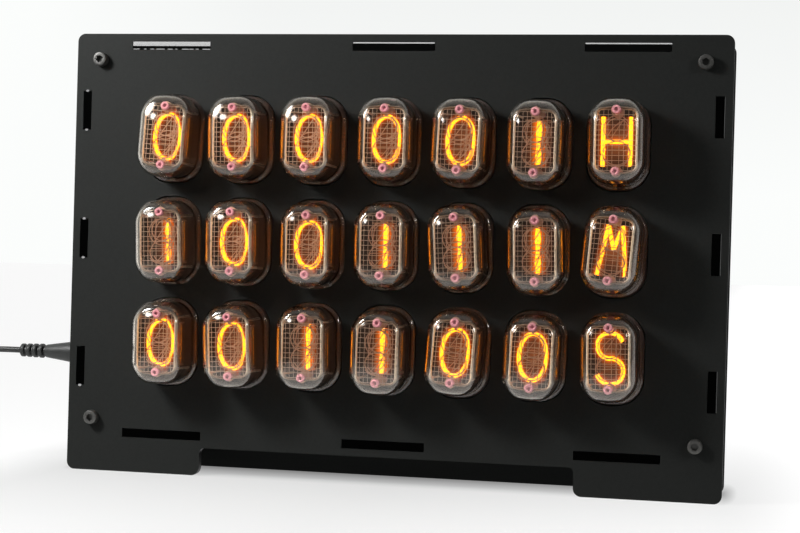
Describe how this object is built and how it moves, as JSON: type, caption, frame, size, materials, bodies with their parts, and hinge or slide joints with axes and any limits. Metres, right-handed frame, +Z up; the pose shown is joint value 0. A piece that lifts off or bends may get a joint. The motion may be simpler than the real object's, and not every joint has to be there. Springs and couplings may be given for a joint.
{
  "type": "binary nixie clock",
  "caption": "Table clock that shows the time in binary on rows of end-view nixie tubes, in a slim tabbed black sheet case with rear set buttons and a plug-in power lead.",
  "frame": {"origin": "on the standing surface, under the middle of the clock's bounding box without its power lead", "axes": "+X to the right seen from the front, +Y to the back, +Z up; the tubes face -Y"},
  "size_m": [0.465, 0.0576, 0.1685],
  "materials": {
    "black_sheet": "satin black acrylic sheet, glossy on its cut edges",
    "black_steel": "blackened steel",
    "brass": "turned brass",
    "circuit_board": "green solder mask",
    "socket_plastic": "moulded phenolic",
    "tube_glass": "clear, slightly smoky glass",
    "base_ceramic": "pressed ceramic and glass",
    "anode_metal": "bright nickel",
    "pink_ceramic": "pink ceramic",
    "cathode_metal": "dull nickel",
    "lit_cathode": "nickel with neon glow on it",
    "chip_plastic": "moulded plastic",
    "ferrite": "sintered ferrite",
    "bare_aluminium": "drawn can",
    "cell_steel": "polished steel",
    "button_plastic": "moulded plastic",
    "inlet_plastic": "moulded plastic",
    "plug_rubber": "moulded soft plastic",
    "cord_jacket": "satin soft plastic",
    "tie_plastic": "nylon band",
    "adapter_plastic": "fine-textured plastic",
    "prong_metal": "nickel-plated brass"
  },
  "bodies": {
    "clock": {"front_panel": "black_sheet", "back_panel": "black_sheet", "top_panel": "black_sheet", "bottom_panel": "black_sheet", "left_panel": "black_sheet", "right_panel": "black_sheet", "front_screws": "black_steel", "rear_screws": "black_steel", "front_spacers": "brass", "rear_spacers": "brass", "display_board": "circuit_board", "tube_sockets": "socket_plastic", "tube_r1c1": "tube_glass", "tube_r1c2": "tube_glass", "tube_r1c3": "tube_glass", "tube_r1c4": "tube_glass", "tube_r1c5": "tube_glass", "tube_r1c6": "tube_glass", "tube_r1c7": "tube_glass", "tube_r2c1": "tube_glass", "tube_r2c2": "tube_glass", "tube_r2c3": "tube_glass", "tube_r2c4": "tube_glass", "tube_r2c5": "tube_glass", "tube_r2c6": "tube_glass", "tube_r2c7": "tube_glass", "tube_r3c1": "tube_glass", "tube_r3c2": "tube_glass", "tube_r3c3": "tube_glass", "tube_r3c4": "tube_glass", "tube_r3c5": "tube_glass", "tube_r3c6": "tube_glass", "tube_r3c7": "tube_glass", "tube_bases": "base_ceramic", "anode_grids": "anode_metal", "support_rods": "pink_ceramic", "unlit_cathodes": "cathode_metal", "lit_zeros": "lit_cathode", "lit_ones": "lit_cathode", "lit_letters": "lit_cathode", "microcontroller": "chip_plastic", "driver_chips": "chip_plastic", "button_switches": "chip_plastic", "cell_holder": "chip_plastic", "boost_coil": "ferrite", "storage_capacitor": "bare_aluminium", "clock_cell": "cell_steel", "power_inlet": "inlet_plastic", "power_plug": "plug_rubber", "adapter_relief": "plug_rubber", "cord_lead": "cord_jacket", "cord_coil": "cord_jacket", "cord_tail": "cord_jacket", "coil_tie": "tie_plastic", "adapter_body": "adapter_plastic", "adapter_prongs": "prong_metal"},
    "hour_key": {"hour_button": "button_plastic"},
    "minute_key": {"minute_button": "button_plastic"},
    "second_key": {"second_button": "button_plastic"}
  },
  "joints": [
    {"name": "hour_press", "type": "slide", "parent": "clock", "child": "hour_key", "axis": [0, -1, 0], "range_m": [0, 0.001], "stiffness_N_per_m": 600, "springref_m": -0.0015},
    {"name": "minute_press", "type": "slide", "parent": "clock", "child": "minute_key", "axis": [0, -1, 0], "range_m": [0, 0.001], "stiffness_N_per_m": 600, "springref_m": -0.0015},
    {"name": "second_press", "type": "slide", "parent": "clock", "child": "second_key", "axis": [0, -1, 0], "range_m": [0, 0.001], "stiffness_N_per_m": 600, "springref_m": -0.0015}
  ]
}
